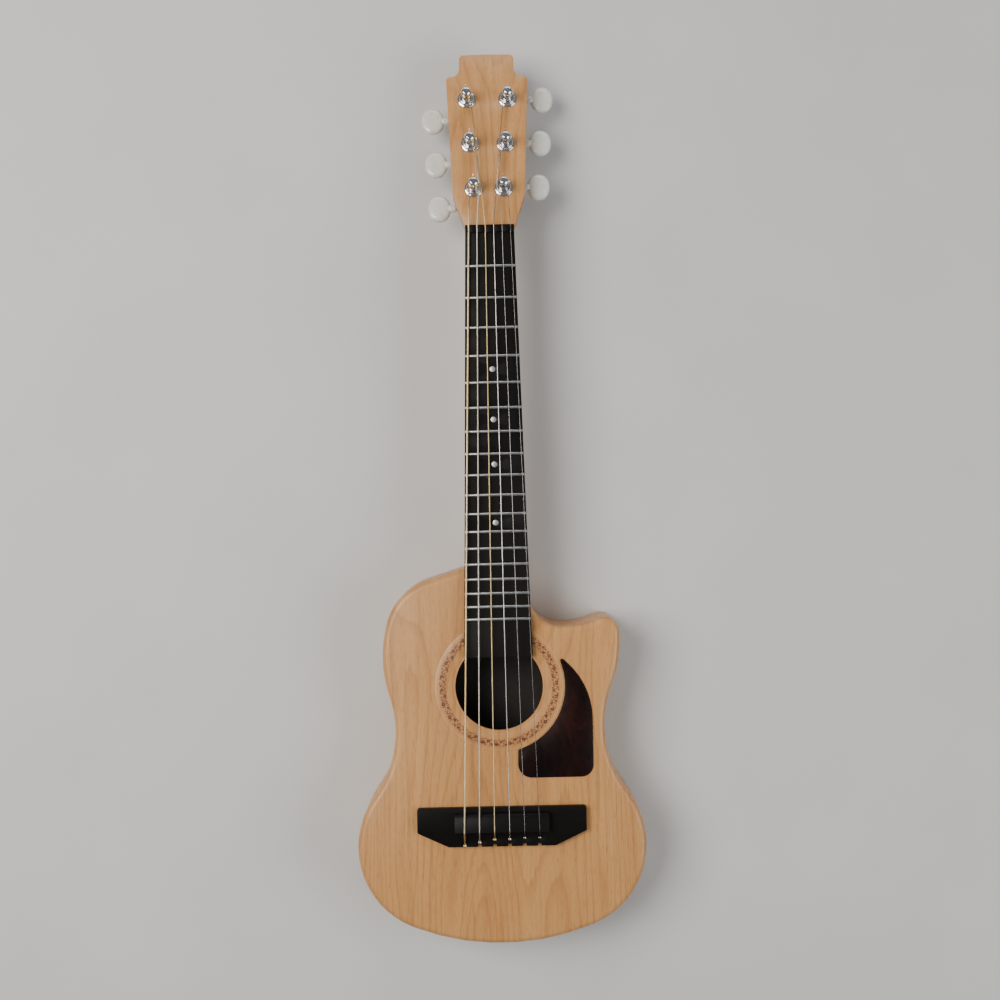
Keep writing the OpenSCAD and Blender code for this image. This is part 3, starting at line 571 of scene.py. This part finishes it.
def coil_path(i):
    """Centre line of the string on its post: up the waist, out over the shoulder, through the hole."""
    radius = STRING_D[i - 1] / 2
    low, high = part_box(f"winding_{i}")
    centre = tuner_frame(i).inverted() @ ((low + high) / 2) / MM
    turns = STRING_TURNS[i - 1] - 1
    start_z = centre.z - turns * radius
    outer = i in (1, 6)
    sense = machine_side(i) * (1 if outer else -1)
    start = 0 if outer else math.pi
    wound = WAIST_R + radius
    # The wire climbs on to the shoulder over the turn that brings it to the hole
    full = start + sense * 2 * math.pi * turns
    climb = sense * CLIMB_TURN * 2 * math.pi
    path = [
        polar(wound, start + (full - start) * k / (turns * COIL_STEPS), start_z + 2 * radius * k / COIL_STEPS)
        for k in range(turns * COIL_STEPS + 1)]
    top_z = start_z + 2 * radius * turns
    shoulder = POST_R + radius + 0.05
    for k in range(1, CLIMB_STEPS + 1):
        share = k / CLIMB_STEPS
        eased = share * share * (3 - 2 * share)
        path.append(polar(wound + (shoulder - wound) * min(1, eased * 1.6), full + climb * share,
                          top_z + (STRING_HOLE_Z - top_z) * eased))
    last = path[-1]
    inward = Vector((-last.x, -last.y, 0)).normalized()
    reach = shoulder + POST_R
    path.append(last + inward * HOLE_INSET[0])
    path.append(last + inward * (reach - HOLE_INSET[1]))
    for beyond, rise in STRING_TAIL:
        path.append(last + inward * (reach + beyond) + Vector((0, 0, rise)))
    return path, radius


def knob_rings(i, start):
    """Rings of an oval knob with soft rims, from its lower face to its upper one."""
    half_out, half_across = KNOB_HALF
    centre = Vector((start + half_out, 0, 0))
    levels = [(-z, inset) for z, inset in KNOB_RIM] + [(z, inset) for z, inset in reversed(KNOB_RIM)]
    rings = []
    for z, inset in levels:
        ring = []
        for angle in turn_in(72):
            c, s = math.cos(angle), math.sin(angle)
            out = math.copysign(abs(c) ** KNOB_ROUND, c) * (half_out - inset)
            across = math.copysign(abs(s) ** KNOB_ROUND, s) * (half_across - inset)
            ring.append(knob_axis(i) + centre + Vector((out, across, z)))
        rings.append(ring)
    return rings


def knob_stem(i, start):
    """Rings of the stem between the shaft and the oval, widening where they meet."""
    centre = knob_axis(i)
    rings = []
    for radius, x in KNOB_STEM:
        rings.append([
            centre + Vector((start + x, radius * math.cos(angle), radius * math.sin(angle)))
            for angle in turn_in(48)])
    return rings


def joined(*shapes):
    """Points and faces of several shapes as one list of each."""
    points, faces = [], []
    for more_points, more_faces in shapes:
        faces += [tuple(len(points) + k for k in face) for face in more_faces]
        points += more_points
    return points, faces


for i in TUNERS:
    bushing = add_piece(f"bushing_{i}", *skin(turned(BUSHING), False), chrome)
    place(bushing, i, "guitar", "bushings", "chrome")

    path, radius = coil_path(i)
    coil = add_piece(f"coil_{i}", *tube(path, radius, 12), COIL_METAL[i])
    place(coil, i, f"string_post_{i}", f"winding_{i}", STRING_SLOT[i - 1])

    reach = max(abs((tuner_frame(i).inverted() @ corner).x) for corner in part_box(f"knob_{i}")) / MM
    start = reach - 2 * KNOB_HALF[0]
    knob_shape = joined(skin(knob_rings(i, start)), skin(knob_stem(i, start)))
    knob = add_piece(f"tuner_button_{i}", *knob_shape, pearl_plastic)
    place(knob, i, f"tuner_knob_{i}", f"knob_{i}", "pearl_plastic")


# ---------- strings ----------

MIDDLE_STRING = 3.5
NUT_SPACING, BRIDGE_SPACING = 5.42, 9.72
SCALE_LENGTH, NUT_THICKNESS = 388.0, 4.7
STRING_TOUCH = 0.02
# Height of the strings over the fingerboard's top, at the nut and at the bridge's block
NUT_RISE, BRIDGE_RISE = 1.1, 4.3
LEAN_Z, LEAN_GAP = 5.5, 0.34
KNOT_R, KNOT_HEIGHT = 1.2, 3.7
BEND, BEND_STEPS = 1.2, 6
# Radius and height of the ball that ends each string, along a turned profile
BALL = [
    (0.55, -1.0), (1.0, -1.0), (1.18, -0.85), (1.2, -0.6), (1.02, -0.25), (1.0, 0.0), (1.02, 0.25),
    (1.2, 0.6), (1.18, 0.85), (1.0, 1.0), (0.55, 1.0), (0.55, -1.0),
]


def rounded(route, size):
    """A route with each corner replaced by a short curve."""
    path = [route[0]]
    for before, corner, after in zip(route, route[1:], route[2:]):
        towards = (corner - before).normalized() * min(size, (corner - before).length / 3)
        onward = (after - corner).normalized() * min(size, (after - corner).length / 3)
        for k in range(BEND_STEPS + 1):
            t = k / BEND_STEPS
            entry, leave = corner - towards, corner + onward
            path.append((1 - t) ** 2 * entry + 2 * t * (1 - t) * corner + t * t * leave)
    return path + [route[-1]]


def string_route(i):
    """Centre line of a string from its ball to the start of its coil, and its radius, in metres."""
    radius = STRING_D[i - 1] / 2
    nut_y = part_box("nut")[0].y / MM
    string_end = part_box(f"string_{i}")[0].y / MM
    board_top = top("fingerboard") / MM
    across = i - MIDDLE_STRING
    knot = Vector((across * BRIDGE_SPACING, string_end + KNOT_R, SOUNDBOARD / MM + KNOT_HEIGHT))
    nut_z = board_top + NUT_RISE + radius + STRING_TOUCH
    route = [
        knot,
        Vector((knot.x, nut_y - SCALE_LENGTH, board_top + BRIDGE_RISE + radius + STRING_TOUCH)),
        Vector((across * NUT_SPACING, nut_y, nut_z)),
        Vector((across * NUT_SPACING, nut_y + NUT_THICKNESS, nut_z)),
    ]
    if i in (2, 5):
        first = tuner_frame(1 if i == 2 else 6)
        inner = -(POST_R + LEAN_GAP + radius)
        route.append(first @ (Vector((inner, 0, LEAN_Z)) * MM) / MM)
    start = coil_path(i)[0][0]
    route.append(tuner_frame(i) @ (start * MM) / MM)
    return [point * MM for point in rounded(route, BEND)], radius * MM


for i in TUNERS:
    path, radius = string_route(i)
    ball = [[path[0] + Vector((p.z, p.x, p.y)) * MM for p in ring] for ring in turned(BALL, 32)]
    string_shape = joined(tube(path, radius, 14), skin(ball, False))
    string = add_piece(f"guitar_string_{i}", *string_shape, STRING_METAL[i])
    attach(string, "guitar")
    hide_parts(f"string_{i}")


# ---------- camera, light and floor ----------

CAMERA_HEIGHT = 0.8
CAMERA_SHIFT = (0.0031, -0.0031)
CAMERA_TURN = math.radians(-1.2)
CAMERA_LENS = 44.17
camera_data = bpy.data.cameras.new("camera")
camera_data.sensor_width = 36
camera_data.lens = CAMERA_LENS
camera_data.clip_start, camera_data.clip_end = 0.01, 20
camera = bpy.data.objects.new("camera", camera_data)
camera.location = (*CAMERA_SHIFT, SOUNDBOARD + CAMERA_HEIGHT)
camera.rotation_euler = (0, 0, CAMERA_TURN)
bpy.context.scene.collection.objects.link(camera)
bpy.context.scene.camera = camera


def lamp(name, place, target, size, power, colour=(1, 1, 1)):
    """A soft square lamp at place, facing target."""
    data = bpy.data.lights.new(name, "AREA")
    data.shape = "RECTANGLE"
    data.size, data.size_y = size
    data.energy = power
    data.color = colour
    light = bpy.data.objects.new(name, data)
    light.location = place
    light.rotation_euler = (Vector(target) - Vector(place)).to_track_quat("-Z", "Y").to_euler()
    bpy.context.scene.collection.objects.link(light)


lamp("key", (-0.85, 0.2, 1.25), (0, -0.1, 0), (0.9, 0.9), 24.0, (1.0, 0.97, 0.93))
lamp("fill", (1.1, -0.3, 0.95), (0, -0.05, 0), (1.0, 0.7), 9.5, (0.94, 0.97, 1.0))
lamp("rim", (0.1, 1.5, 0.8), (0, 0, 0), (1.0, 0.4), 5.0)

world = bpy.data.worlds.new("studio")
world.use_nodes = True
world.node_tree.nodes["Background"].inputs["Color"].default_value = (0.82, 0.84, 0.86, 1)
world.node_tree.nodes["Background"].inputs["Strength"].default_value = 0.2
bpy.context.scene.world = world

floor_shader = Shader("floor", Roughness=0.75)
floor_tone = floor_shader.noise(floor_shader.position(), 0.01, 2)
floor_shader.set(
    "Base Color", floor_shader.ramp(floor_tone, (0.3, (0.60, 0.59, 0.57)), (0.7, (0.63, 0.62, 0.60))))
FLOOR_HALF, FLOOR_GAP = 8.0, 0.0002
floor_z = cad_box[0].z - FLOOR_GAP
floor_corners = [(-1, -1), (1, -1), (1, 1), (-1, 1)]
floor = add_piece("floor", [(x * FLOOR_HALF, y * FLOOR_HALF, floor_z) for x, y in floor_corners],
                  [(0, 1, 2, 3)], floor_shader.material, False)
